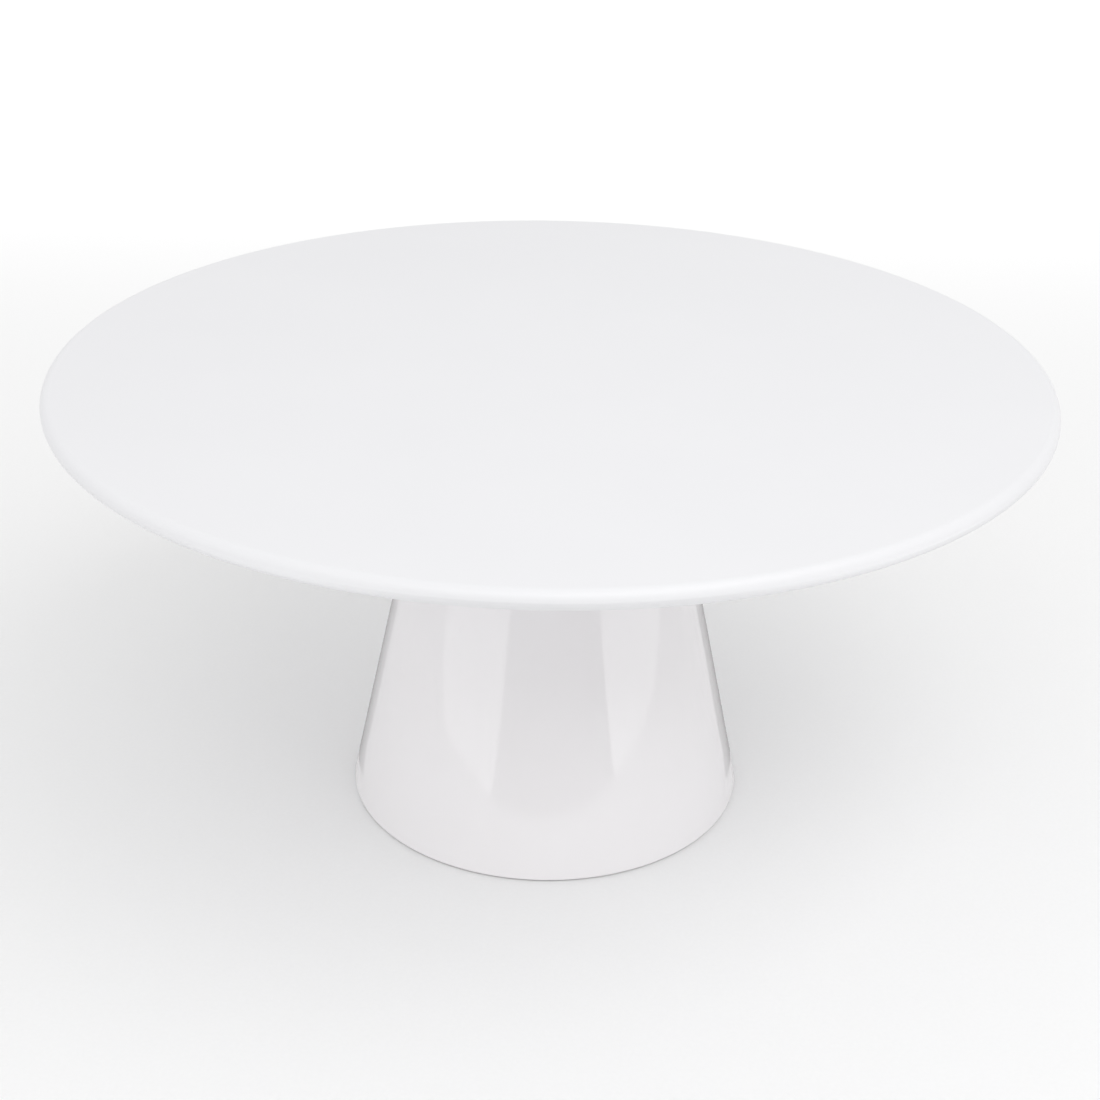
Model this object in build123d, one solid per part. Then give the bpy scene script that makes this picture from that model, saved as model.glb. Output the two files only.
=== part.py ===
from build123d import *
import os
from math import atan2, cos

# A revolving cake stand: a flat rimless plate turns on a ball bearing at the top of a hollow pedestal.
# The origin is on the spindle's axis, level with the faces of the feet, where the stand meets the table.
# +Z is up. All sizes are in millimetres.

# ---- driving dimensions ----
STAND_HEIGHT = 150.0  # table to the plate's top face
PLATE_DIAMETER = 310.0
PLATE_THICKNESS = 6.0  # at the rim, whose edge is a full round
CONE_FOOT_DIAMETER = 131.0  # of the pedestal's cone, where it would meet the table
CONE_NECK_DIAMETER = 69.0  # of the same cone, where it would meet the plate
WALL = 3.0  # the pedestal's moulded wall, square to its surface
TABLE_GAP = 0.4  # under the pedestal's edge, because only the feet touch the table
PLATE_GAP = 1.8  # running gap between the pedestal's top edge and the plate

# ---- plate ----
PLATE_RADIUS = PLATE_DIAMETER / 2
PLATE_UNDERSIDE = STAND_HEIGHT - PLATE_THICKNESS
EDGE_RADIUS = PLATE_THICKNESS / 2
SKIN = 3.2  # the plate's web between its ribs
RIM_LAND = 3.2  # flat ring inside the rounded edge, on the underside
PLATE_RIB_WIDTH = 2.2
PLATE_RIB_SETBACK = 0.4  # the ribs stop this far above the rim's land
PLATE_RIB_COUNT = 12
PLATE_RING_RIB_RADII = (74.0, 112.0)
HUB_PAD_RADIUS = 36.0

# ---- spindle ----
SPINDLE_RADIUS = 5.0
SPINDLE_TOP_SKIN = 2.5  # plate left above the spindle's blind bore
SPINDLE_END_GAP = 0.1
SPINDLE_CHAMFER = 0.8
RUNNING_CLEARANCE = 0.05  # radial, spindle in bush

# ---- thrust ball bearing ----
BALL_RADIUS = 3.0
BALL_COUNT = 16
PITCH_RADIUS = 22.0
RACE_INNER_RADIUS = 16.0
RACE_OUTER_RADIUS = 28.0
RACE_THICKNESS = 2.5
GROOVE_RADIUS = 3.2
GROOVE_DEPTH = 1.0
BALL_CLEARANCE = 0.05  # ball to groove, at its deepest
RACE_CHAMFER = 0.3
CAGE_THICKNESS = 3.0
CAGE_INNER_RADIUS = 17.2
CAGE_OUTER_RADIUS = 26.8
POCKET_RADIUS = 3.1

BALL_TO_RACE_BACK = BALL_RADIUS + BALL_CLEARANCE - GROOVE_DEPTH + RACE_THICKNESS
BALL_HEIGHT = PLATE_UNDERSIDE - BALL_TO_RACE_BACK
DECK_TOP = BALL_HEIGHT - BALL_TO_RACE_BACK  # the pedestal's face under the lower race

# ---- hub under the plate ----
HUB_BOSS_RADIUS = RACE_INNER_RADIUS - 0.2
HUB_BOSS_DROP = 6.0
SKIRT_INNER_RADIUS = 29.8
SKIRT_OUTER_RADIUS = 31.2
SKIRT_DROP = 4.0

# ---- pedestal ----
PEDESTAL_TOP = PLATE_UNDERSIDE - PLATE_GAP
DECK_THICKNESS = 3.0
DECK_UNDERSIDE = DECK_TOP - DECK_THICKNESS
FOOT_EDGE_RADIUS = 0.5
TOP_EDGE_RADIUS = 1.2
POCKET_WALL_RADIUS = 31.9
RACE_LIP_INNER = RACE_OUTER_RADIUS + 0.1
RACE_LIP_WIDTH = 1.5
RACE_LIP_HEIGHT = 2.0
TUBE_RADIUS = 11.0
TUBE_BOTTOM = 78.0
GUSSET_COUNT = 4
GUSSET_THICKNESS = 2.4
GUSSET_TUBE_BOTTOM = 86.0
GUSSET_WALL_BOTTOM = 104.0
INNER_FEATURE_INSET = 1.5  # ribs and bosses stop this far inside the pedestal's outer surface

# ---- bushes ----
BUSH_OUTER_RADIUS = 7.0
BUSH_INNER_RADIUS = SPINDLE_RADIUS + RUNNING_CLEARANCE
BUSH_FLANGE_RADIUS = 9.5
BUSH_FLANGE_THICKNESS = 1.5
BUSH_LENGTH = 12.0

# ---- thrust washer and retaining clip ----
STACK_GAP = 0.1  # axial play, bush to washer and washer to clip
WASHER_THICKNESS = 1.0
WASHER_OUTER_RADIUS = 9.0
WASHER_INNER_RADIUS = 5.2
CLIP_THICKNESS = 1.0
CLIP_GROOVE_WIDTH = 1.1
CLIP_GROOVE_RADIUS = 4.8
CLIP_OUTER_RADIUS = 6.8
CLIP_LUG_RADIUS = 1.7
CLIP_LUG_ANGLE = 22.0  # each lug, from the middle of the clip's opening
CLIP_HOLE_RADIUS = 0.7
SPINDLE_BELOW_CLIP = 2.8

WASHER_TOP = TUBE_BOTTOM - BUSH_FLANGE_THICKNESS - STACK_GAP
CLIP_TOP = WASHER_TOP - WASHER_THICKNESS - STACK_GAP

# ---- base cover, feet and screws ----
COVER_RADIUS = 60.9
COVER_UNDERSIDE = 1.4
COVER_THICKNESS = 2.4
COVER_RIM_WIDTH = 2.0
COVER_RIM_TOP = 6.0
COVER_RIB_COUNT = 8
COVER_RIB_WIDTH = 1.8
COVER_RIB_HEIGHT = 2.2
COVER_RIB_START = 22.5  # the first rib's angle, clear of the screws and the feet
COVER_CENTRE_RADIUS = 9.0
FOOT_COUNT = 4
FOOT_CIRCLE_RADIUS = 47.0
FOOT_START = 45.0
FOOT_RADIUS = 7.0
FOOT_FIT = 0.2  # radial gap between a foot and its recess
FOOT_RECESS_DEPTH = 1.0
FOOT_EDGE_ROUNDING = 0.5
SCREW_COUNT = 4
SCREW_CIRCLE_RADIUS = 52.0
SCREW_RADIUS = 1.6
SCREW_HEAD_RADIUS = 3.3
SCREW_HEAD_HEIGHT = 2.0
SCREW_SEAT = 4.4  # height of the face under each screw's head
SCREW_LENGTH = 12.0
SCREW_POINT = 2.0
CROSS_WIDTH = 0.8
CROSS_LENGTH = 3.4
CROSS_DEPTH = 1.1
SCREW_PAD_RADIUS = 5.9
SCREW_PAD_TOP = 7.2
SCREW_HOLE_RADIUS = 1.9
HEAD_POCKET_RADIUS = 3.8
BOSS_RADIUS = 4.5
BOSS_TOP = 24.0
PILOT_DEPTH = 11.0
BOSS_WEB_THICKNESS = 2.0

CONE_LEAN = atan2((CONE_FOOT_DIAMETER - CONE_NECK_DIAMETER) / 2, PLATE_UNDERSIDE)
WALL_ACROSS = WALL / cos(CONE_LEAN)  # the wall measured along the radius


def cone_radius(z):
    """Radius of the pedestal's outer surface at height z."""
    foot = CONE_FOOT_DIAMETER / 2
    neck = CONE_NECK_DIAMETER / 2
    return foot + (neck - foot) * z / PLATE_UNDERSIDE


def turned(*points):
    """A solid of revolution about Z, from its section's corners as (radius, z)."""
    outline = Polyline(*points, close=True)
    return revolve(Plane.XZ * make_face(outline), Axis.Z)


def ring(inner, outer, low, high):
    """A plain ring between two radii and two heights."""
    return turned((inner, low), (outer, low), (outer, high), (inner, high))


def disc(radius, low, high):
    """A plain cylinder on the Z axis."""
    return Pos(0, 0, low) * extrude(Circle(radius), high - low)


def cone_solid(inset, low, high):
    """The pedestal's outer cone between two heights, shrunk by inset along the radius."""
    return turned((0, low), (cone_radius(low) - inset, low), (cone_radius(high) - inset, high), (0, high))


def radial_bar(inner, outer, width, low, high):
    """A straight bar along +X, from one radius to another."""
    return Pos(inner, 0, low) * Box(
        outer - inner, width, high - low, align=(Align.MIN, Align.CENTER, Align.MIN)
    )


def around(shape, count, start=0.0):
    """Copies of a shape, evenly spaced about Z."""
    return [Rot(0, 0, start + 360 * i / count) * shape for i in range(count)]


def turntable_plate():
    """The plate: a thin skin with a fully rounded rim, ribs and a central hub moulded underneath."""
    rim_centre = PLATE_RADIUS - EDGE_RADIUS
    web = STAND_HEIGHT - SKIN
    recess_outer = rim_centre - RIM_LAND
    upper = Polyline((0, PLATE_UNDERSIDE), (0, STAND_HEIGHT), (rim_centre, STAND_HEIGHT))
    edge = ThreePointArc(
        (rim_centre, STAND_HEIGHT),
        (PLATE_RADIUS, STAND_HEIGHT - EDGE_RADIUS),
        (rim_centre, PLATE_UNDERSIDE),
    )
    lower = Polyline(
        (rim_centre, PLATE_UNDERSIDE),
        (recess_outer, PLATE_UNDERSIDE),
        (recess_outer, web),
        (HUB_PAD_RADIUS, web),
        (HUB_PAD_RADIUS, PLATE_UNDERSIDE),
        (0, PLATE_UNDERSIDE),
    )
    plate = revolve(Plane.XZ * make_face(upper + edge + lower), Axis.Z)
    rib_low = PLATE_UNDERSIDE + PLATE_RIB_SETBACK
    rib_high = web + SKIN / 2
    rib = radial_bar(HUB_PAD_RADIUS - 1, recess_outer + 1, PLATE_RIB_WIDTH, rib_low, rib_high)
    plate += around(rib, PLATE_RIB_COUNT)
    for radius in PLATE_RING_RIB_RADII:
        half = PLATE_RIB_WIDTH / 2
        plate += ring(radius - half, radius + half, rib_low, rib_high)
    plate += ring(SKIRT_INNER_RADIUS, SKIRT_OUTER_RADIUS, PLATE_UNDERSIDE - SKIRT_DROP, PLATE_UNDERSIDE + 1)
    plate += disc(HUB_BOSS_RADIUS, PLATE_UNDERSIDE - HUB_BOSS_DROP, PLATE_UNDERSIDE + 1)
    plate -= disc(SPINDLE_RADIUS, PLATE_UNDERSIDE - HUB_BOSS_DROP, STAND_HEIGHT - SPINDLE_TOP_SKIN)
    return plate


def bearing_race(back, towards_balls):
    """A steel race ring with a ball groove. towards_balls is +1 for the lower race and -1 for the upper."""
    front = back + towards_balls * RACE_THICKNESS
    race = ring(RACE_INNER_RADIUS, RACE_OUTER_RADIUS, min(back, front), max(back, front))
    race = chamfer(race.edges().filter_by(GeomType.CIRCLE), RACE_CHAMFER)
    groove_height = front + towards_balls * (GROOVE_RADIUS - GROOVE_DEPTH)
    return race - Pos(0, 0, groove_height) * Torus(PITCH_RADIUS, GROOVE_RADIUS)


def bearing_balls():
    """The ball set, one solid each."""
    ball = Pos(PITCH_RADIUS, 0, BALL_HEIGHT) * Sphere(BALL_RADIUS)
    return Compound(around(ball, BALL_COUNT))


def ball_cage():
    """The ring that spaces the balls, with a spherical pocket round each."""
    low = BALL_HEIGHT - CAGE_THICKNESS / 2
    cage = ring(CAGE_INNER_RADIUS, CAGE_OUTER_RADIUS, low, low + CAGE_THICKNESS)
    pocket = Pos(PITCH_RADIUS, 0, BALL_HEIGHT) * Sphere(POCKET_RADIUS)
    return cage - around(pocket, BALL_COUNT)


def spindle():
    """The steel pin pressed into the plate's hub, with a groove near its lower end for the clip."""
    top = STAND_HEIGHT - SPINDLE_TOP_SKIN - SPINDLE_END_GAP
    bottom = CLIP_TOP - CLIP_THICKNESS - SPINDLE_BELOW_CLIP
    pin = chamfer(disc(SPINDLE_RADIUS, bottom, top).edges(), SPINDLE_CHAMFER)
    slack = (CLIP_GROOVE_WIDTH - CLIP_THICKNESS) / 2
    groove_low = CLIP_TOP - CLIP_THICKNESS - slack
    return pin - ring(CLIP_GROOVE_RADIUS, SPINDLE_RADIUS + 1, groove_low, groove_low + CLIP_GROOVE_WIDTH)


def flanged_bush(seat, away):
    """A bush with its flange on the tube's end at height seat. away is +1 above the tube, -1 below it."""
    flange_far = seat + away * BUSH_FLANGE_THICKNESS
    barrel_far = seat - away * BUSH_LENGTH
    return turned(
        (BUSH_INNER_RADIUS, flange_far),
        (BUSH_FLANGE_RADIUS, flange_far),
        (BUSH_FLANGE_RADIUS, seat),
        (BUSH_OUTER_RADIUS, seat),
        (BUSH_OUTER_RADIUS, barrel_far),
        (BUSH_INNER_RADIUS, barrel_far),
    )


def thrust_washer():
    """The washer between the lower bush and the clip."""
    return ring(WASHER_INNER_RADIUS, WASHER_OUTER_RADIUS, WASHER_TOP - WASHER_THICKNESS, WASHER_TOP)


def retaining_clip():
    """An external circlip: an open ring with a drilled lug at each end."""
    lug_centre = CLIP_OUTER_RADIUS - 0.2
    outline = Circle(CLIP_OUTER_RADIUS)
    for side in (-1, 1):
        outline += Rot(0, 0, side * CLIP_LUG_ANGLE) * Pos(lug_centre, 0) * Circle(CLIP_LUG_RADIUS)
    outline -= Circle(CLIP_GROOVE_RADIUS)
    for side in (-1, 1):
        outline -= Rot(0, 0, side * CLIP_LUG_ANGLE) * Pos(lug_centre, 0) * Circle(CLIP_HOLE_RADIUS)
    opening = CLIP_LUG_RADIUS
    outline -= Rectangle(CLIP_OUTER_RADIUS * 2, opening, align=(Align.MIN, Align.CENTER))
    return Pos(0, 0, CLIP_TOP - CLIP_THICKNESS) * extrude(outline, CLIP_THICKNESS)


def gusset():
    """One rib from the bearing tube out to the cone's wall, under the deck."""
    reach = cone_radius(GUSSET_WALL_BOTTOM)
    outline = Polyline(
        (TUBE_RADIUS - 1, DECK_UNDERSIDE + 1),
        (reach, DECK_UNDERSIDE + 1),
        (reach, GUSSET_WALL_BOTTOM),
        (TUBE_RADIUS - 1, GUSSET_TUBE_BOTTOM),
        close=True,
    )
    return extrude(Plane.XZ * make_face(outline), GUSSET_THICKNESS / 2, both=True)


def screw_boss():
    """One boss for a cover screw, joined to the cone's wall by a web."""
    boss = Pos(SCREW_CIRCLE_RADIUS, 0) * disc(BOSS_RADIUS, SCREW_PAD_TOP, BOSS_TOP)
    web = radial_bar(
        SCREW_CIRCLE_RADIUS + BOSS_RADIUS / 2,
        CONE_FOOT_DIAMETER / 2,
        BOSS_WEB_THICKNESS,
        SCREW_PAD_TOP,
        BOSS_TOP,
    )
    return boss + web


def pedestal_shell():
    """The hollow cone, with a deck for the bearing, a tube for the bushes, and bosses for the base cover."""
    body = cone_solid(0, TABLE_GAP, PEDESTAL_TOP)
    round_edges = body.edges().filter_by(GeomType.CIRCLE).sort_by(Axis.Z)
    body = fillet(round_edges[-1], TOP_EDGE_RADIUS)
    body = fillet(body.edges().filter_by(GeomType.CIRCLE).sort_by(Axis.Z)[0], FOOT_EDGE_RADIUS)
    body -= cone_solid(WALL_ACROSS, 0, DECK_UNDERSIDE)
    body -= disc(POCKET_WALL_RADIUS, DECK_TOP, PEDESTAL_TOP)
    body += ring(RACE_LIP_INNER, RACE_LIP_INNER + RACE_LIP_WIDTH, DECK_TOP - 1, DECK_TOP + RACE_LIP_HEIGHT)
    inside = disc(TUBE_RADIUS, TUBE_BOTTOM, DECK_UNDERSIDE + 1)
    inside += around(gusset(), GUSSET_COUNT)
    inside += around(screw_boss(), SCREW_COUNT)
    body += inside & cone_solid(INNER_FEATURE_INSET, TABLE_GAP, DECK_UNDERSIDE + 1)
    pilot = Pos(SCREW_CIRCLE_RADIUS, 0) * disc(SCREW_RADIUS, SCREW_PAD_TOP, SCREW_PAD_TOP + PILOT_DEPTH)
    body -= around(pilot, SCREW_COUNT)
    return body - disc(BUSH_OUTER_RADIUS, TUBE_BOTTOM, DECK_TOP)


def base_cover():
    """The ribbed disc that closes the pedestal, with a pad at each screw and a recess for each foot."""
    disc_top = COVER_UNDERSIDE + COVER_THICKNESS
    rib_low = disc_top - 1
    rib_high = disc_top + COVER_RIB_HEIGHT
    rim_inner = COVER_RADIUS - COVER_RIM_WIDTH
    cover = disc(COVER_RADIUS, COVER_UNDERSIDE, disc_top)
    cover += ring(rim_inner, COVER_RADIUS, disc_top - 1, COVER_RIM_TOP)
    cover += ring(COVER_CENTRE_RADIUS - COVER_RIB_WIDTH, COVER_CENTRE_RADIUS, rib_low, rib_high)
    rib = radial_bar(COVER_CENTRE_RADIUS - 1, rim_inner + 1, COVER_RIB_WIDTH, rib_low, rib_high)
    cover += around(rib, COVER_RIB_COUNT, COVER_RIB_START)
    at_screw = Pos(SCREW_CIRCLE_RADIUS, 0)
    cover += around(at_screw * disc(SCREW_PAD_RADIUS, disc_top - 1, SCREW_PAD_TOP), SCREW_COUNT)
    cover -= around(at_screw * disc(HEAD_POCKET_RADIUS, COVER_UNDERSIDE, SCREW_SEAT), SCREW_COUNT)
    cover -= around(at_screw * disc(SCREW_HOLE_RADIUS, SCREW_SEAT, SCREW_PAD_TOP), SCREW_COUNT)
    foot_recess = disc(FOOT_RADIUS + FOOT_FIT, COVER_UNDERSIDE, COVER_UNDERSIDE + FOOT_RECESS_DEPTH)
    return cover - around(Pos(FOOT_CIRCLE_RADIUS, 0) * foot_recess, FOOT_COUNT, FOOT_START)


def cover_screw():
    """One pan-head screw, pointing up, with a cross recess in its head."""
    head_low = SCREW_SEAT - SCREW_HEAD_HEIGHT
    head = disc(SCREW_HEAD_RADIUS, head_low, SCREW_SEAT)
    head = fillet(head.edges().filter_by(GeomType.CIRCLE).sort_by(Axis.Z)[0], SCREW_HEAD_HEIGHT / 2)
    tip = SCREW_SEAT + SCREW_LENGTH
    shank = turned(
        (0, SCREW_SEAT - 1),
        (SCREW_RADIUS, SCREW_SEAT - 1),
        (SCREW_RADIUS, tip - SCREW_POINT),
        (0, tip),
    )
    screw = head + shank
    slot = Box(CROSS_LENGTH, CROSS_WIDTH, CROSS_DEPTH, align=(Align.CENTER, Align.CENTER, Align.MIN))
    for angle in (0, 90):
        screw -= Pos(0, 0, head_low) * Rot(0, 0, angle) * slot
    return Pos(SCREW_CIRCLE_RADIUS, 0) * screw


def foot_pad():
    """One soft round foot, set in its recess and rounded where it meets the table."""
    foot = disc(FOOT_RADIUS, 0, COVER_UNDERSIDE + FOOT_RECESS_DEPTH)
    foot = fillet(foot.edges().filter_by(GeomType.CIRCLE).sort_by(Axis.Z)[0], FOOT_EDGE_ROUNDING)
    return Pos(FOOT_CIRCLE_RADIUS, 0) * foot


def parts():
    """Every piece of the stand, by the name a person would give it."""
    return {
        "turntable_plate": turntable_plate(),
        "spindle": spindle(),
        "upper_race": bearing_race(PLATE_UNDERSIDE, -1),
        "lower_race": bearing_race(DECK_TOP, 1),
        "bearing_balls": bearing_balls(),
        "ball_cage": ball_cage(),
        "upper_bush": flanged_bush(DECK_TOP, 1),
        "lower_bush": flanged_bush(TUBE_BOTTOM, -1),
        "thrust_washer": thrust_washer(),
        "retaining_clip": retaining_clip(),
        "pedestal_shell": pedestal_shell(),
        "base_cover": base_cover(),
        "cover_screws": Compound(around(cover_screw(), SCREW_COUNT)),
        "foot_pads": Compound(around(foot_pad(), FOOT_COUNT, FOOT_START)),
    }


os.makedirs("parts", exist_ok=True)
for name, shape in parts().items():
    export_step(shape, f"parts/{name}.step")
    print(f"{name}: {len(shape.solids())} solid(s), {shape.volume / 1000:.2f} cm3")
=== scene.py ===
from math import atan2, ceil, cos, pi, radians, sin, tan

import bmesh
import bpy
from mathutils import Matrix, Vector


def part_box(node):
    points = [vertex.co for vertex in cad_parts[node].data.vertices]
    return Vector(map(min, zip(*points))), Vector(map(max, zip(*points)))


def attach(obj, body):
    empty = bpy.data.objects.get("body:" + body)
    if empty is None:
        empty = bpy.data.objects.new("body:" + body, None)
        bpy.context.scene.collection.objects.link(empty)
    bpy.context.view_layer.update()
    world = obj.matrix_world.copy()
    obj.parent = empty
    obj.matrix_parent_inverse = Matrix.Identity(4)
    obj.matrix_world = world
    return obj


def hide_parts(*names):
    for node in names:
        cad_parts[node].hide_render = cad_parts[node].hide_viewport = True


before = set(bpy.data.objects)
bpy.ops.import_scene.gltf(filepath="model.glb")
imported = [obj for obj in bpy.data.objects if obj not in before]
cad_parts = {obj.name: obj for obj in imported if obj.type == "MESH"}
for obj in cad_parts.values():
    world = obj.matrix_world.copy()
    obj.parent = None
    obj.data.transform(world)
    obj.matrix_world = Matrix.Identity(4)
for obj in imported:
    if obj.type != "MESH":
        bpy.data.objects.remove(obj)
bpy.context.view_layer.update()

MM = 0.001

# ---------------------------------------------------------------- sizes, from the frame where it has them

PLATE_LOW, PLATE_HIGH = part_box("turntable_plate")
SHELL_LOW, SHELL_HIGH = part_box("pedestal_shell")
COVER_LOW, COVER_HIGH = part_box("base_cover")
FEET_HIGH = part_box("foot_pads")[1]
SCREWS_LOW, SCREWS_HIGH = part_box("cover_screws")
SPINDLE_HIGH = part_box("spindle")[1]
BUSH_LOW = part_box("lower_bush")[0]
LOWER_RACE_LOW, LOWER_RACE_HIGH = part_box("lower_race")
UPPER_RACE_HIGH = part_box("upper_race")[1]

ROUNDING = 0.3 * MM  # of a moulded edge that nothing else sets
SUNK = 1 * MM  # how far a rib, boss or cutter runs into or past the wall that it meets
SETBACK = 0.1 * MM  # step between two faces that would otherwise be level

# plate
STAND_HEIGHT = PLATE_HIGH.z
PLATE_RADIUS = min(PLATE_HIGH.x, PLATE_HIGH.y, -PLATE_LOW.x, -PLATE_LOW.y)
PLATE_UNDERSIDE = UPPER_RACE_HIGH.z
PLATE_EDGE_ROUNDING = 0.498 * (STAND_HEIGHT - PLATE_UNDERSIDE)
WEB_UNDERSIDE = STAND_HEIGHT - 3.2 * MM
RIM_LAND_INNER = PLATE_RADIUS - 6.2 * MM
HUB_PAD_RADIUS = 36 * MM
SKIRT_OUTER = 31.2 * MM
SKIRT_INNER = 29.8 * MM
SKIRT_BOTTOM = PLATE_UNDERSIDE - 4 * MM
HUB_BOSS_RADIUS = 15.8 * MM
SPINDLE_RADIUS = SPINDLE_HIGH.x
SPINDLE_BORE_TOP = SPINDLE_HIGH.z + 0.1 * MM
PLATE_RIB_COUNT = 12
PLATE_RIB_HALF_WIDTH = 1.1 * MM
PLATE_RIB_BOTTOM = PLATE_UNDERSIDE + 0.4 * MM
RING_RIB_RADII = (74 * MM, 112 * MM)
RIB_FLARE = 0.6 * MM
EJECTOR_MARK_RADII = (55 * MM, 93 * MM, 130 * MM)
EJECTOR_MARK_RADIUS = 2.5 * MM
EJECTOR_MARK_DEPTH = 0.12 * MM

# pedestal
SHELL_BOTTOM = SHELL_LOW.z
SHELL_TOP = SHELL_HIGH.z
CONE_FOOT_RADIUS = 65.5 * MM  # of the outer cone, where it would meet the table
CONE_NECK_RADIUS = 34.5 * MM  # of the same cone, where it would meet the plate
CONE_LEAN = atan2(CONE_FOOT_RADIUS - CONE_NECK_RADIUS, PLATE_UNDERSIDE)
WALL_ACROSS = 3 * MM / cos(CONE_LEAN)
SHELL_TOP_ROUNDING = 1.2 * MM
SHELL_FOOT_ROUNDING = 0.5 * MM
DECK_TOP = LOWER_RACE_LOW.z
DECK_UNDERSIDE = DECK_TOP - 3 * MM
POCKET_WALL_RADIUS = 31.9 * MM
RACE_LIP_INNER = LOWER_RACE_HIGH.x + 0.1 * MM
RACE_LIP_OUTER = RACE_LIP_INNER + 1.5 * MM
RACE_LIP_TOP = DECK_TOP + 2 * MM
TUBE_RADIUS = 11 * MM
TUBE_BORE_RADIUS = 7 * MM
TUBE_BOTTOM = BUSH_LOW.z + 1.5 * MM
GUSSET_COUNT = 4
GUSSET_HALF_THICKNESS = 1.2 * MM
GUSSET_TUBE_BOTTOM = 86 * MM
GUSSET_WALL_BOTTOM = 104 * MM

# cover, screws and feet
COVER_RADIUS = min(COVER_HIGH.x, COVER_HIGH.y, -COVER_LOW.x, -COVER_LOW.y)
COVER_BOTTOM = COVER_LOW.z
COVER_TOP = COVER_BOTTOM + 2.4 * MM
COVER_RIM_INNER = COVER_RADIUS - 2 * MM
COVER_RIM_TOP = 6 * MM
COVER_RIB_COUNT = 8
COVER_RIB_START = radians(22.5)
COVER_RIB_HALF_WIDTH = 0.9 * MM
COVER_RIB_TOP = COVER_TOP + 2.2 * MM
CENTRE_RING_RADIUS = 8.1 * MM
GATE_RECESS_RADIUS = 4 * MM
GATE_RECESS_DEPTH = 0.4 * MM
GATE_RADIUS = 1 * MM
SCREW_COUNT = 4
SCREW_HEAD_RADIUS = 3.3 * MM
SCREW_CIRCLE_RADIUS = SCREWS_HIGH.x - SCREW_HEAD_RADIUS
SCREW_HEAD_BOTTOM = SCREWS_LOW.z
SCREW_SEAT = SCREW_HEAD_BOTTOM + 2 * MM
SCREW_RADIUS = 1.6 * MM
SCREW_TIP = SCREWS_HIGH.z
SCREW_POINT = 2 * MM
CROSS_LENGTH = 3.4 * MM
CROSS_WIDTH = 0.8 * MM
CROSS_DEPTH = 1.1 * MM
CROSS_TAPER = 0.6  # size of the recess's floor against its mouth
HEAD_POCKET_RADIUS = 3.8 * MM
POCKET_CHAMFER = 0.4 * MM
SCREW_HOLE_RADIUS = 1.9 * MM
SCREW_PAD_RADIUS = 5.9 * MM
SCREW_PAD_TOP = COVER_HIGH.z
BOSS_RADIUS = 4.5 * MM
BOSS_TOP = 24 * MM
BOSS_WEB_HALF_WIDTH = 1 * MM
PILOT_TOP = SCREW_PAD_TOP + 11 * MM
FOOT_COUNT = 4
FOOT_START = radians(45)
FOOT_RADIUS = 7 * MM
FOOT_CIRCLE_RADIUS = (FEET_HIGH.x - FOOT_RADIUS) / cos(FOOT_START)
FOOT_TOP = FEET_HIGH.z
FOOT_ROUNDING = 0.5 * MM
FOOT_HOLLOW_RADIUS = 4.4 * MM
FOOT_HOLLOW_DEPTH = 0.3 * MM
FOOT_RECESS_RADIUS = FOOT_RADIUS + 0.2 * MM


# ---------------------------------------------------------------- node materials

NOISE_LOW = 0.3  # most of a noise texture's values lie between these two
NOISE_HIGH = 0.7
PLASTIC_IOR = 1.5
STAIN_SIZE = 9 * MM  # of the slow change of colour on a metal


def material(name):
    """A new node material: (material, node tree, its Principled shader)."""
    made = bpy.data.materials.new(name)
    made.use_nodes = True
    tree = made.node_tree
    return made, tree, tree.nodes["Principled BSDF"]


def noise(tree, source, scale, detail=2.0):
    """A noise texture's value. Scale is in features per metre."""
    node = tree.nodes.new("ShaderNodeTexNoise")
    node.inputs["Scale"].default_value = scale
    node.inputs["Detail"].default_value = detail
    tree.links.new(source, node.inputs["Vector"])
    return node.outputs["Fac"]


def spread(tree, value, low, high):
    """The middle of a noise value's range, stretched to run from low to high."""
    node = tree.nodes.new("ShaderNodeMapRange")
    node.inputs["From Min"].default_value = NOISE_LOW
    node.inputs["From Max"].default_value = NOISE_HIGH
    node.inputs["To Min"].default_value = low
    node.inputs["To Max"].default_value = high
    tree.links.new(value, node.inputs["Value"])
    return node.outputs["Result"]


def blended(tree, value, first, second):
    """A colour that runs from first to second with a noise value."""
    node = tree.nodes.new("ShaderNodeMix")
    node.data_type = "RGBA"
    node.inputs["A"].default_value = (*first, 1)
    node.inputs["B"].default_value = (*second, 1)
    tree.links.new(spread(tree, value, 0, 1), node.inputs["Factor"])
    return node.outputs["Result"]


def bump(tree, value, depth, normal=None):
    """A bump of that depth in metres, on top of another bump if one is given."""
    node = tree.nodes.new("ShaderNodeBump")
    node.inputs["Distance"].default_value = depth
    tree.links.new(value, node.inputs["Height"])
    if normal is not None:
        tree.links.new(normal, node.inputs["Normal"])
    return node.outputs["Normal"]


def place(tree):
    """The shading point in the piece's own frame."""
    return tree.nodes.new("ShaderNodeTexCoord").outputs["Object"]


def plastic(name, tint, other_tint, rough, grain_size, grain_depth, wave_size, wave_depth):
    """A moulded plastic: fine grain, a slower waviness, and slight changes of colour and gloss."""
    made, tree, shader = material(name)
    point = place(tree)
    slow = noise(tree, point, 1 / wave_size)
    fine = noise(tree, point, 1 / grain_size, detail=3.0)
    tree.links.new(blended(tree, slow, tint, other_tint), shader.inputs["Base Color"])
    tree.links.new(spread(tree, fine, *rough), shader.inputs["Roughness"])
    grain = bump(tree, fine, grain_depth)
    tree.links.new(bump(tree, slow, wave_depth, grain), shader.inputs["Normal"])
    shader.inputs["IOR"].default_value = PLASTIC_IOR
    return made


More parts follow.
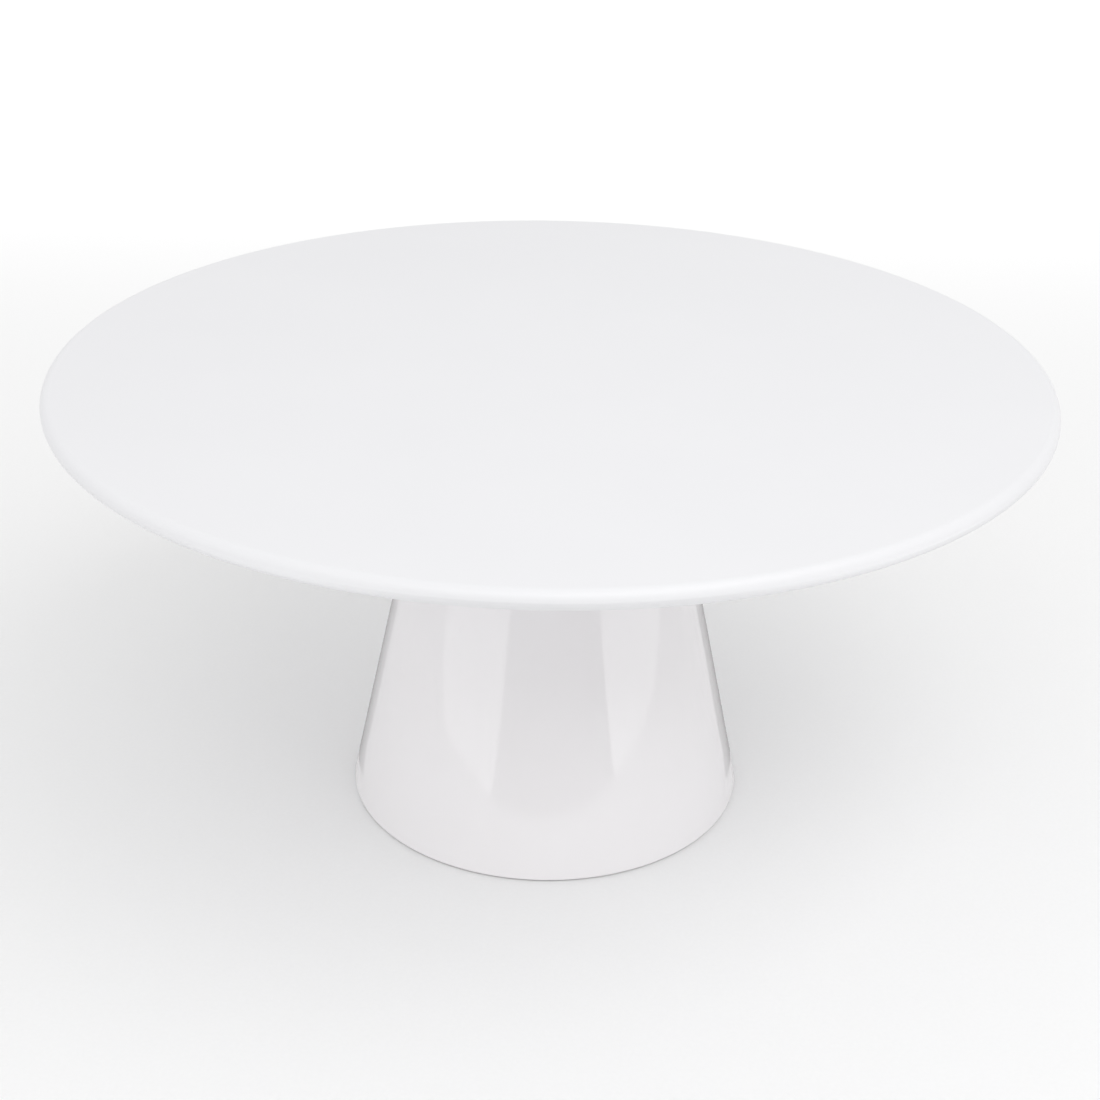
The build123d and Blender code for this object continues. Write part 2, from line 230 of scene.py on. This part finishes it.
def radius_of(tree, point):
    """Distance from the stand's axis and height, as a vector for a texture that runs in rings."""
    split = tree.nodes.new("ShaderNodeSeparateXYZ")
    tree.links.new(point, split.inputs["Vector"])
    flat = tree.nodes.new("ShaderNodeCombineXYZ")
    tree.links.new(split.outputs["X"], flat.inputs["X"])
    tree.links.new(split.outputs["Y"], flat.inputs["Y"])
    length = tree.nodes.new("ShaderNodeVectorMath")
    length.operation = "LENGTH"
    tree.links.new(flat.outputs["Vector"], length.inputs[0])
    out = tree.nodes.new("ShaderNodeCombineXYZ")
    tree.links.new(length.outputs["Value"], out.inputs["X"])
    tree.links.new(split.outputs["Z"], out.inputs["Z"])
    return out.outputs["Vector"]


def turned_metal(name, tint, other_tint, rough, ring_size, ring_depth):
    """A metal with a fine pattern in rings round the stand's axis."""
    made, tree, shader = material(name)
    point = place(tree)
    rings = noise(tree, radius_of(tree, point), 1 / ring_size, detail=4.0)
    stain = noise(tree, point, 1 / STAIN_SIZE)
    tree.links.new(blended(tree, stain, tint, other_tint), shader.inputs["Base Color"])
    tree.links.new(spread(tree, rings, *rough), shader.inputs["Roughness"])
    tree.links.new(bump(tree, rings, ring_depth), shader.inputs["Normal"])
    shader.inputs["Metallic"].default_value = 1.0
    return made


SATIN_WHITE = plastic(
    "satin_white", (0.80, 0.80, 0.817), (0.808, 0.808, 0.824), (0.36, 0.44),
    grain_size=0.5 * MM, grain_depth=0.006 * MM, wave_size=45 * MM, wave_depth=0.05 * MM,
)
GLOSS_WHITE = plastic(
    "gloss_white", (0.887, 0.869, 0.88), (0.894, 0.878, 0.891), (0.05, 0.09),
    grain_size=3.5 * MM, grain_depth=0.004 * MM, wave_size=40 * MM, wave_depth=0.03 * MM,
)
COVER_WHITE = plastic(
    "cover_white", (0.74, 0.74, 0.735), (0.78, 0.775, 0.77), (0.48, 0.62),
    grain_size=0.45 * MM, grain_depth=0.03 * MM, wave_size=25 * MM, wave_depth=0.05 * MM,
)
NYLON = plastic(
    "nylon", (0.70, 0.66, 0.54), (0.76, 0.72, 0.60), (0.38, 0.52),
    grain_size=0.8 * MM, grain_depth=0.01 * MM, wave_size=8 * MM, wave_depth=0.03 * MM,
)
ACETAL = plastic(
    "acetal", (0.72, 0.72, 0.70), (0.78, 0.78, 0.76), (0.28, 0.40),
    grain_size=0.6 * MM, grain_depth=0.006 * MM, wave_size=9 * MM, wave_depth=0.02 * MM,
)
FOOT_RUBBER = plastic(
    "foot_rubber", (0.36, 0.36, 0.35), (0.44, 0.44, 0.43), (0.68, 0.84),
    grain_size=0.35 * MM, grain_depth=0.04 * MM, wave_size=5 * MM, wave_depth=0.04 * MM,
)
GROUND_STEEL = turned_metal(
    "ground_steel", (0.54, 0.54, 0.55), (0.62, 0.62, 0.63), (0.20, 0.34),
    ring_size=0.12 * MM, ring_depth=0.003 * MM,
)
BALL_STEEL = turned_metal(
    "ball_steel", (0.72, 0.72, 0.73), (0.78, 0.78, 0.79), (0.04, 0.09),
    ring_size=0.5 * MM, ring_depth=0.0005 * MM,
)
ZINC_STEEL = turned_metal(
    "zinc_steel", (0.60, 0.60, 0.58), (0.70, 0.69, 0.63), (0.26, 0.40),
    ring_size=0.3 * MM, ring_depth=0.004 * MM,
)
PHOSPHATED_STEEL = turned_metal(
    "phosphated_steel", (0.05, 0.05, 0.052), (0.09, 0.09, 0.092), (0.42, 0.58),
    ring_size=0.25 * MM, ring_depth=0.006 * MM,
)


# ---------------------------------------------------------------- shape tools

ROUND_STEPS = 288  # flats round a moulding; the eye sees a true circle
SMALL_ROUND_STEPS = 48  # flats round a boss, foot, screw or hole
ARC_STEP = radians(15)  # one flat of a rounded corner
SHARP_TURN = radians(31)  # an edge that turns further than this stays sharp
ON_AXIS = 0.0001 * MM  # a smaller radius is taken as a point on the axis


def rounded(outline):
    """The points of an outline of (x, y, rounding), with an arc at each corner whose rounding isn't 0."""
    points = []
    for index, (x, y, rounding) in enumerate(outline):
        corner = Vector((x, y))
        back = (Vector(outline[index - 1][:2]) - corner).normalized()
        ahead = (Vector(outline[(index + 1) % len(outline)][:2]) - corner).normalized()
        if rounding == 0:
            points.append(corner)
            continue
        half_turn = (pi - back.angle(ahead)) / 2
        centre = corner + (back + ahead).normalized() * rounding / cos(half_turn)
        start = corner + back * rounding * tan(half_turn) - centre
        end = corner + ahead * rounding * tan(half_turn) - centre
        steps = ceil(2 * half_turn / ARC_STEP)
        for step in range(steps + 1):
            points.append(centre + start.slerp(end, step / steps).normalized() * rounding)
    return points


def turned(mesh, outline, steps=ROUND_STEPS, at=(0, 0)):
    """Adds a closed solid of revolution about a vertical axis, from its section's (radius, z, rounding)."""
    rings = []
    for radius, z in rounded(outline):
        if radius < ON_AXIS:
            rings.append([mesh.verts.new((*at, z))])
            continue
        turns = [2 * pi * step / steps for step in range(steps)]
        rings.append([mesh.verts.new((at[0] + radius * cos(t), at[1] + radius * sin(t), z)) for t in turns])
    for ring, following in zip(rings, rings[1:] + rings[:1]):
        if len(ring) == len(following) == 1:
            continue
        for step in range(steps):
            ahead = step + 1
            corners = [
                ring[step % len(ring)],
                ring[ahead % len(ring)],
                following[ahead % len(following)],
                following[step % len(following)],
            ]
            mesh.faces.new(dict.fromkeys(corners))


def slab(mesh, ends, turn, centre=(0, 0)):
    """Adds a closed solid between two like outlines of (along, across, z), turned about a vertical axis."""
    swing = Matrix.Rotation(turn, 3, "Z")
    shift = Vector((*centre, 0))
    near, far = [[mesh.verts.new(swing @ Vector(point) + shift) for point in end] for end in ends]
    mesh.faces.new(near)
    mesh.faces.new(far)
    for index in range(len(near)):
        mesh.faces.new((near[index - 1], near[index], far[index], far[index - 1]))


def even_turns(count, start=0.0):
    """Angles of count things spaced evenly round a circle."""
    return [start + 2 * pi * index / count for index in range(count)]


def on_circle(radius, turn):
    """The point at that radius and angle."""
    return (radius * cos(turn), radius * sin(turn))


def made_object(name, mesh):
    """A linked object from a bmesh, with its faces pointing outwards."""
    bmesh.ops.recalc_face_normals(mesh, faces=mesh.faces)
    data = bpy.data.meshes.new(name)
    mesh.to_mesh(data)
    mesh.free()
    made = bpy.data.objects.new(name, data)
    bpy.context.scene.collection.objects.link(made)
    return made


def combined(name, body, steps):
    """One solid from a body and (operation, bmesh) steps, with smooth curves and flat flats.

    The pieces of each step's mesh are clear of one another, as the solver needs.
    """
    made = made_object(name, body)
    tools = []
    for operation, mesh in steps:
        tool = made_object(f"{name}_tool", mesh)
        tools.append(tool)
        change = made.modifiers.new(operation, "BOOLEAN")
        change.operation = operation
        change.solver = "MANIFOLD"
        change.object = tool
    result = bpy.data.meshes.new_from_object(made.evaluated_get(bpy.context.evaluated_depsgraph_get()))
    made.modifiers.clear()
    made.data = result
    for tool in tools:
        bpy.data.objects.remove(tool)
    return smoothed(made)


def smoothed(made):
    """The object with smooth curves, sharp edges and true flats."""
    made.data.shade_smooth()
    made.data.set_sharp_from_angle(angle=SHARP_TURN)
    flats = made.modifiers.new("flats", "WEIGHTED_NORMAL")
    flats.keep_sharp = True
    return made


def cylinder_outline(radius, bottom, top, rounding=0):
    """Outline of a plain round solid whose upper edge may be rounded."""
    return [(0, bottom, 0), (radius, bottom, 0), (radius, top, rounding), (0, top, 0)]


def rib_section(half_width, free_end, wall):
    """Section of a moulded rib as (across, z, rounding): rounded at its free end and flared into its wall."""
    inwards = 1 if wall > free_end else -1
    sunk = wall + inwards * SUNK
    flare_end = wall + inwards * SETBACK
    flare_start = flare_end - inwards * RIB_FLARE
    right = [
        (half_width, free_end, ROUNDING),
        (half_width, flare_start, 0),
        (half_width + RIB_FLARE, flare_end, 0),
        (half_width + RIB_FLARE, sunk, 0),
    ]
    left = [(-across, z, rounding) for across, z, rounding in reversed(right)]
    return right + left


def upright_plate(mesh, outline, half_thickness, turn):
    """Adds an upright plate from its outline as (radius, z)."""
    slab(mesh, [[(radius, side * half_thickness, z) for radius, z in outline] for side in (-1, 1)], turn)


# ---------------------------------------------------------------- pieces

def cone_radius(z):
    """Radius of the pedestal's outer surface at height z."""
    return CONE_FOOT_RADIUS + (CONE_NECK_RADIUS - CONE_FOOT_RADIUS) * z / PLATE_UNDERSIDE


def plate_body():
    """The plate's skin with its full-round edge, rim land, hub pad, dust skirt, hub boss and blind bore."""
    mesh = bmesh.new()
    turned(
        mesh,
        [
            (0, STAND_HEIGHT, 0),
            (PLATE_RADIUS, STAND_HEIGHT, PLATE_EDGE_ROUNDING),
            (PLATE_RADIUS, PLATE_UNDERSIDE, PLATE_EDGE_ROUNDING),
            (RIM_LAND_INNER, PLATE_UNDERSIDE, ROUNDING),
            (RIM_LAND_INNER, WEB_UNDERSIDE, 2 * ROUNDING),
            (HUB_PAD_RADIUS, WEB_UNDERSIDE, 2 * ROUNDING),
            (HUB_PAD_RADIUS, PLATE_UNDERSIDE, ROUNDING),
            (SKIRT_OUTER, PLATE_UNDERSIDE, ROUNDING),
            (SKIRT_OUTER, SKIRT_BOTTOM, ROUNDING),
            (SKIRT_INNER, SKIRT_BOTTOM, ROUNDING),
            (SKIRT_INNER, PLATE_UNDERSIDE, ROUNDING),
            (HUB_BOSS_RADIUS, PLATE_UNDERSIDE, ROUNDING / 2),
            (HUB_BOSS_RADIUS, PLATE_LOW.z, ROUNDING),
            (SPINDLE_RADIUS, PLATE_LOW.z, ROUNDING),
            (SPINDLE_RADIUS, SPINDLE_BORE_TOP, 0),
            (0, SPINDLE_BORE_TOP, 0),
        ],
    )
    return mesh


def straight_ribs(count, start, half_width, free_end, wall, inner, outer):
    """Straight ribs spaced evenly round a moulding."""
    mesh = bmesh.new()
    corners = rounded(rib_section(half_width, free_end, wall))
    for turn in even_turns(count, start):
        slab(mesh, [[(reach, across, z) for across, z in corners] for reach in (inner, outer)], turn)
    return mesh


def ring_ribs(radii, half_width, free_end, wall):
    """Ribs that run in rings round a moulding."""
    mesh = bmesh.new()
    for radius in radii:
        section = rib_section(half_width, free_end, wall)
        turned(mesh, [(radius + across, z, rounding) for across, z, rounding in section])
    return mesh


def ejector_marks():
    """Shallow round marks on the web between the ribs, where the mould's pins pushed."""
    mesh = bmesh.new()
    mark = cylinder_outline(EJECTOR_MARK_RADIUS, WEB_UNDERSIDE - SUNK, WEB_UNDERSIDE + EJECTOR_MARK_DEPTH)
    for radius in EJECTOR_MARK_RADII:
        for turn in even_turns(PLATE_RIB_COUNT, pi / PLATE_RIB_COUNT):
            turned(mesh, mark, SMALL_ROUND_STEPS, on_circle(radius, turn))
    return mesh


def pedestal_body():
    """The pedestal's cone with its deck, bearing pocket, race lip and bearing tube."""
    mesh = bmesh.new()
    turned(
        mesh,
        [
            (cone_radius(SHELL_BOTTOM), SHELL_BOTTOM, SHELL_FOOT_ROUNDING),
            (cone_radius(SHELL_TOP), SHELL_TOP, SHELL_TOP_ROUNDING),
            (POCKET_WALL_RADIUS, SHELL_TOP, ROUNDING),
            (POCKET_WALL_RADIUS, DECK_TOP, ROUNDING),
            (RACE_LIP_OUTER, DECK_TOP, ROUNDING),
            (RACE_LIP_OUTER, RACE_LIP_TOP, ROUNDING),
            (RACE_LIP_INNER, RACE_LIP_TOP, ROUNDING),
            (RACE_LIP_INNER, DECK_TOP, 0),
            (TUBE_BORE_RADIUS, DECK_TOP, 0),
            (TUBE_BORE_RADIUS, TUBE_BOTTOM, 0),
            (TUBE_RADIUS, TUBE_BOTTOM, ROUNDING),
            (TUBE_RADIUS, DECK_UNDERSIDE, 2 * ROUNDING),
            (cone_radius(DECK_UNDERSIDE) - WALL_ACROSS, DECK_UNDERSIDE, 3 * ROUNDING),
            (cone_radius(SHELL_BOTTOM) - WALL_ACROSS, SHELL_BOTTOM, ROUNDING),
        ],
    )
    return mesh


def gussets_and_webs():
    """The gussets that hold the bearing tube, and the webs that hold the screw bosses."""
    mesh = bmesh.new()
    gusset = [
        (TUBE_RADIUS - SUNK, DECK_UNDERSIDE + SUNK),
        (cone_radius(DECK_UNDERSIDE) - WALL_ACROSS + SUNK, DECK_UNDERSIDE + SUNK),
        (cone_radius(GUSSET_WALL_BOTTOM) - WALL_ACROSS + SUNK, GUSSET_WALL_BOTTOM),
        (TUBE_RADIUS - SUNK, GUSSET_TUBE_BOTTOM),
    ]
    for turn in even_turns(GUSSET_COUNT):
        upright_plate(mesh, gusset, GUSSET_HALF_THICKNESS, turn)
    boss_web_inner = SCREW_CIRCLE_RADIUS + BOSS_RADIUS / 2
    web = [
        (boss_web_inner, SCREW_PAD_TOP + SETBACK),
        (cone_radius(SCREW_PAD_TOP) - WALL_ACROSS + SUNK, SCREW_PAD_TOP + SETBACK),
        (cone_radius(BOSS_TOP) - WALL_ACROSS + SUNK, BOSS_TOP - SETBACK),
        (boss_web_inner, BOSS_TOP - SETBACK),
    ]
    for turn in even_turns(SCREW_COUNT):
        upright_plate(mesh, web, BOSS_WEB_HALF_WIDTH, turn)
    return mesh


def at_each(outline, count, circle_radius, start=0.0):
    """Copies of a small turned solid, spaced evenly on a circle."""
    mesh = bmesh.new()
    for turn in even_turns(count, start):
        turned(mesh, outline, SMALL_ROUND_STEPS, on_circle(circle_radius, turn))
    return mesh


def cover_body():
    """The cover's disc with its raised rim."""
    mesh = bmesh.new()
    turned(
        mesh,
        [
            (0, COVER_BOTTOM, 0),
            (COVER_RADIUS, COVER_BOTTOM, 2 * ROUNDING),
            (COVER_RADIUS, COVER_RIM_TOP, ROUNDING),
            (COVER_RIM_INNER, COVER_RIM_TOP, ROUNDING),
            (COVER_RIM_INNER, COVER_TOP, 2 * ROUNDING),
            (0, COVER_TOP, 0),
        ],
    )
    return mesh


def pocket_outline(radius, bottom, top):
    """Outline of a cutter for a round pocket with a chamfered mouth, from below."""
    return [
        (0, bottom - SUNK, 0),
        (radius + POCKET_CHAMFER + SUNK, bottom - SUNK, 0),
        (radius, bottom + POCKET_CHAMFER, 0),
        (radius, top, 0),
        (0, top, 0),
    ]


def cover_pockets():
    """The pockets for the screws' heads and the feet, and the recess round the mould's gate."""
    mesh = bmesh.new()
    head_pocket = pocket_outline(HEAD_POCKET_RADIUS, COVER_BOTTOM, SCREW_SEAT)
    for turn in even_turns(SCREW_COUNT):
        turned(mesh, head_pocket, SMALL_ROUND_STEPS, on_circle(SCREW_CIRCLE_RADIUS, turn))
    foot_pocket = pocket_outline(FOOT_RECESS_RADIUS, COVER_BOTTOM, FOOT_TOP)
    for turn in even_turns(FOOT_COUNT, FOOT_START):
        turned(mesh, foot_pocket, SMALL_ROUND_STEPS, on_circle(FOOT_CIRCLE_RADIUS, turn))
    turned(
        mesh,
        [
            (GATE_RADIUS, COVER_BOTTOM - SUNK, 0),
            (GATE_RECESS_RADIUS, COVER_BOTTOM - SUNK, 0),
            (GATE_RECESS_RADIUS, COVER_BOTTOM + GATE_RECESS_DEPTH, 0),
            (GATE_RADIUS, COVER_BOTTOM + GATE_RECESS_DEPTH, 0),
        ],
        SMALL_ROUND_STEPS,
    )
    return mesh


def screw_outline():
    """Section of a pan-head screw, point up."""
    return [
        (0, SCREW_HEAD_BOTTOM, 0),
        (SCREW_HEAD_RADIUS, SCREW_HEAD_BOTTOM, (SCREW_SEAT - SCREW_HEAD_BOTTOM) / 2),
        (SCREW_HEAD_RADIUS, SCREW_SEAT, ROUNDING / 3),
        (SCREW_RADIUS, SCREW_SEAT, 0),
        (SCREW_RADIUS, SCREW_TIP - SCREW_POINT, ROUNDING),
        (0, SCREW_TIP, 0),
    ]


def cross_outline(scale, z):
    """Corners of the cross in a screw's head, level with height z."""
    reach = scale * CROSS_LENGTH / 2
    half = scale * CROSS_WIDTH / 2
    quarter = [Vector((reach, -half)), Vector((reach, half)), Vector((half, half))]
    corners = []
    for turn in even_turns(4):
        corners += [(*(Matrix.Rotation(turn, 2) @ corner), z) for corner in quarter]
    return corners


def screw_recesses():
    """The tapered cross in each screw's head."""
    mesh = bmesh.new()
    mouth_scale = 1 + (1 - CROSS_TAPER) * SUNK / CROSS_DEPTH
    mouth = cross_outline(mouth_scale, SCREW_HEAD_BOTTOM - SUNK)
    bottom = cross_outline(CROSS_TAPER, SCREW_HEAD_BOTTOM + CROSS_DEPTH)
    for turn in even_turns(SCREW_COUNT):
        slab(mesh, [mouth, bottom], turn, on_circle(SCREW_CIRCLE_RADIUS, turn))
    return mesh


def foot_outline():
    """Section of a soft foot with a hollowed face."""
    return [
        (0, FOOT_HOLLOW_DEPTH, 0),
        (FOOT_HOLLOW_RADIUS - FOOT_HOLLOW_DEPTH, FOOT_HOLLOW_DEPTH, ROUNDING),
        (FOOT_HOLLOW_RADIUS, 0, ROUNDING),
        (FOOT_RADIUS, 0, FOOT_ROUNDING),
        (FOOT_RADIUS, FOOT_TOP, ROUNDING / 2),
        (0, FOOT_TOP, 0),
    ]


def finished(piece, finish, body, node):
    """Gives a piece its material, and its place in the frame."""
    piece.data.materials.clear()
    piece.data.materials.append(finish)
    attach(piece, body)
    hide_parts(node)


plate_web_ribs = straight_ribs(
    PLATE_RIB_COUNT,
    0,
    PLATE_RIB_HALF_WIDTH,
    PLATE_RIB_BOTTOM,
    WEB_UNDERSIDE,
    HUB_PAD_RADIUS - SUNK,
    RIM_LAND_INNER + SUNK,
)
plate_rings = ring_ribs(RING_RIB_RADII, PLATE_RIB_HALF_WIDTH, PLATE_RIB_BOTTOM + SETBACK, WEB_UNDERSIDE)
plate_steps = [("UNION", plate_web_ribs), ("UNION", plate_rings), ("DIFFERENCE", ejector_marks())]
plate = combined("plate_moulding", plate_body(), plate_steps)
finished(plate, SATIN_WHITE, "turntable", "turntable_plate")

boss = cylinder_outline(BOSS_RADIUS, SCREW_PAD_TOP, BOSS_TOP, ROUNDING)
pilot = cylinder_outline(SCREW_RADIUS, SCREW_PAD_TOP - SUNK, PILOT_TOP)
pedestal_steps = [
    ("UNION", gussets_and_webs()),
    ("UNION", at_each(boss, SCREW_COUNT, SCREW_CIRCLE_RADIUS)),
    ("DIFFERENCE", at_each(pilot, SCREW_COUNT, SCREW_CIRCLE_RADIUS)),
]
pedestal = combined("pedestal_moulding", pedestal_body(), pedestal_steps)
finished(pedestal, GLOSS_WHITE, "base", "pedestal_shell")

cover_ribs = straight_ribs(
    COVER_RIB_COUNT,
    COVER_RIB_START,
    COVER_RIB_HALF_WIDTH,
    COVER_RIB_TOP,
    COVER_TOP,
    CENTRE_RING_RADIUS,
    COVER_RIM_INNER + SUNK,
)
pad = cylinder_outline(SCREW_PAD_RADIUS, COVER_TOP - SUNK, SCREW_PAD_TOP)
hole = cylinder_outline(SCREW_HOLE_RADIUS, SCREW_SEAT - SUNK, SCREW_PAD_TOP + SUNK)
cover_steps = [
    ("UNION", cover_ribs),
    ("UNION", ring_ribs([CENTRE_RING_RADIUS], COVER_RIB_HALF_WIDTH, COVER_RIB_TOP - SETBACK, COVER_TOP)),
    ("UNION", at_each(pad, SCREW_COUNT, SCREW_CIRCLE_RADIUS)),
    ("DIFFERENCE", cover_pockets()),
    ("DIFFERENCE", at_each(hole, SCREW_COUNT, SCREW_CIRCLE_RADIUS)),
]
cover = combined("cover_moulding", cover_body(), cover_steps)
finished(cover, COVER_WHITE, "base", "base_cover")

screw_bodies = at_each(screw_outline(), SCREW_COUNT, SCREW_CIRCLE_RADIUS)
screws = combined("screws", screw_bodies, [("DIFFERENCE", screw_recesses())])
finished(screws, ZINC_STEEL, "base", "cover_screws")

feet = combined("feet", at_each(foot_outline(), FOOT_COUNT, FOOT_CIRCLE_RADIUS, FOOT_START), [])
finished(feet, FOOT_RUBBER, "base", "foot_pads")

CARRIED_OVER = {
    "spindle": GROUND_STEEL,
    "upper_race": GROUND_STEEL,
    "lower_race": GROUND_STEEL,
    "bearing_balls": BALL_STEEL,
    "ball_cage": NYLON,
    "upper_bush": ACETAL,
    "lower_bush": ACETAL,
    "thrust_washer": ACETAL,
    "retaining_clip": PHOSPHATED_STEEL,
}
for node, finish in CARRIED_OVER.items():
    node_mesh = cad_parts[node].data
    node_mesh.materials.clear()
    node_mesh.materials.append(finish)


# ---------------------------------------------------------------- studio

# the camera, fitted to the outline of the plate: its place is in plate radii and its turns are in degrees
CAMERA_DISTANCE = 3.573
CAMERA_HEIGHT = 2.317
CAMERA_DOWN = 26.37
CAMERA_PAN = -0.058
CAMERA_ROLL = 0.934
CAMERA_LENS = 61.9  # millimetres, on a sensor 36 mm wide

FLOOR_HALF = 30.0  # metres, so that low views show a plain horizon
FLOOR_GRAIN = 1.2 * MM
FLOOR_DEPTH = 0.02 * MM
FLOOR_TINT = (0.905, 0.905, 0.905)
OTHER_FLOOR_TINT = (0.92, 0.92, 0.92)
CARD_HEIGHT = 1 * MM

# what the softboxes face
PLATE_CENTRE = (0, 0, STAND_HEIGHT)
STAND_CENTRE = (0, 0, STAND_HEIGHT / 2)
FLOOR_BEHIND = (0, 1.15, 0)

# corners of the cards on the floor in front of the stand, where its gloss mirrors them: the two that glow are
# painted reflections of a lit floor, and the black one between them is painted shade
LEFT_PAINTED_REFLECTION = [
    (-0.09, -0.175), (-0.49, -0.975), (-1.1, -0.975),
    (-0.49, -0.123), (-0.215, -0.133), (-0.15, -0.176),
]
RIGHT_PAINTED_REFLECTION = [
    (0.135, -0.175), (0.59, -0.74), (1.1, -0.74), (1.0, -0.06),
    (0.425, -0.03), (0.25, -0.138), (0.195, -0.167),
]
FRONT_PAINTED_SHADE = [
    (-0.09, -0.175), (0.135, -0.175), (0.59, -0.74),
    (0.9, -1.3), (-0.65, -1.3), (-0.49, -0.975),
]

# corners of the card behind the stand, a painted shadow that only the gloss sees, which darkens the mirrored
# edges of the pedestal
BACK_PAINTED_SHADOW = [
    (-0.071, -0.008), (-0.079, 0.012), (-0.104, 0.05), (-0.13, 0.09), (-0.16, 0.13), (-0.16, 0.3),
    (0.16, 0.3), (0.16, 0.13), (0.13, 0.09), (0.106, 0.05), (0.081, 0.012), (0.072, -0.006),
    (0.05, 0.06), (0, 0.08), (-0.05, 0.06),
]


def floor():
    """A wide pale floor, level with the faces of the feet."""
    mesh = bpy.data.meshes.new("floor")
    corners = [(x * FLOOR_HALF, y * FLOOR_HALF, 0) for x, y in ((-1, -1), (1, -1), (1, 1), (-1, 1))]
    mesh.from_pydata(corners, [], [(0, 1, 2, 3)])
    made = bpy.data.objects.new("floor", mesh)
    bpy.context.scene.collection.objects.link(made)
    finish, tree, shader = material("floor_paper")
    point = place(tree)
    grain = noise(tree, point, 1 / FLOOR_GRAIN, detail=4.0)
    tree.links.new(blended(tree, grain, FLOOR_TINT, OTHER_FLOOR_TINT), shader.inputs["Base Color"])
    tree.links.new(bump(tree, grain, FLOOR_DEPTH), shader.inputs["Normal"])
    shader.inputs["Roughness"].default_value = 0.9
    shader.inputs["Specular IOR Level"].default_value = 0.0
    mesh.materials.append(finish)


def softbox(name, at, aim, width, height, power, beam=180):
    """A rectangular area light at one point that faces another, with a beam of so many degrees."""
    data = bpy.data.lights.new(name, "AREA")
    data.shape = "RECTANGLE"
    data.size = width
    data.size_y = height
    data.energy = power
    data.spread = radians(beam)
    made = bpy.data.objects.new(name, data)
    made.location = at
    made.rotation_euler = (Vector(aim) - Vector(at)).to_track_quat("-Z", "Y").to_euler()
    bpy.context.scene.collection.objects.link(made)


def card(name, corners, grey, glow):
    """A sheet on the floor that only glossy surfaces see, so it doesn't hide, light or shade the floor. It
    paints a reflection into the gloss: painted light where it glows brightly, painted shade where it is dark.
    """
    mesh = bpy.data.meshes.new(name)
    mesh.from_pydata([(x, y, CARD_HEIGHT) for x, y in corners], [], [range(len(corners))])
    made = bpy.data.objects.new(name, mesh)
    bpy.context.scene.collection.objects.link(made)
    finish, tree, shader = material(name)
    shader.inputs["Base Color"].default_value = (grey, grey, grey, 1)
    shader.inputs["Emission Color"].default_value = (1, 1, 1, 1)
    shader.inputs["Emission Strength"].default_value = glow
    mesh.materials.append(finish)
    made.visible_camera = False
    made.visible_diffuse = False
    made.visible_shadow = False


def surroundings(strength):
    """An even neutral light from all sides."""
    world = bpy.data.worlds.new("studio")
    world.use_nodes = True
    world.node_tree.nodes["Background"].inputs["Color"].default_value = (1, 1, 1, 1)
    world.node_tree.nodes["Background"].inputs["Strength"].default_value = strength
    bpy.context.scene.world = world


def camera():
    """The camera stands in front of the stand and looks down on it, with a slight lean to one side."""
    data = bpy.data.cameras.new("camera")
    data.lens = CAMERA_LENS
    made = bpy.data.objects.new("camera", data)
    made.matrix_world = (
        Matrix.Translation((0, -CAMERA_DISTANCE * PLATE_RADIUS, CAMERA_HEIGHT * PLATE_RADIUS))
        @ Matrix.Rotation(radians(CAMERA_PAN), 4, "Z")
        @ Matrix.Rotation(radians(90 - CAMERA_DOWN), 4, "X")
        @ Matrix.Rotation(radians(CAMERA_ROLL), 4, "Z")
    )
    bpy.context.scene.collection.objects.link(made)
    bpy.context.scene.camera = made


floor()
surroundings(strength=0.835)
softbox("top_softbox", (0.45, -0.4, 0.95), PLATE_CENTRE, width=0.7, height=0.7, power=2.1)
softbox("front_softbox", (0.0, -1.1, 1.25), STAND_CENTRE, width=1.0, height=0.6, power=3.1)
softbox("left_softbox", (-1.2, -0.2, 0.5), STAND_CENTRE, width=1.0, height=0.8, power=0.8)
softbox("floor_softbox", (0.0, 1.45, 1.5), FLOOR_BEHIND, width=2.2, height=0.5, power=3.0, beam=55)
# painted reflections: glowing sheets that only the gloss sees, brighter than the floor
card("left_painted_reflection", LEFT_PAINTED_REFLECTION, grey=0.85, glow=0.91)
card("right_painted_reflection", RIGHT_PAINTED_REFLECTION, grey=0.85, glow=0.98)
# painted shade: a black sheet that only the gloss sees
card("front_painted_shade", FRONT_PAINTED_SHADE, grey=0, glow=0)
# painted shadow under the plate: a dim sheet that only the gloss sees
card("back_painted_shadow", BACK_PAINTED_SHADOW, grey=0, glow=0.22)
camera()
bpy.context.scene.view_settings.view_transform = "Standard"
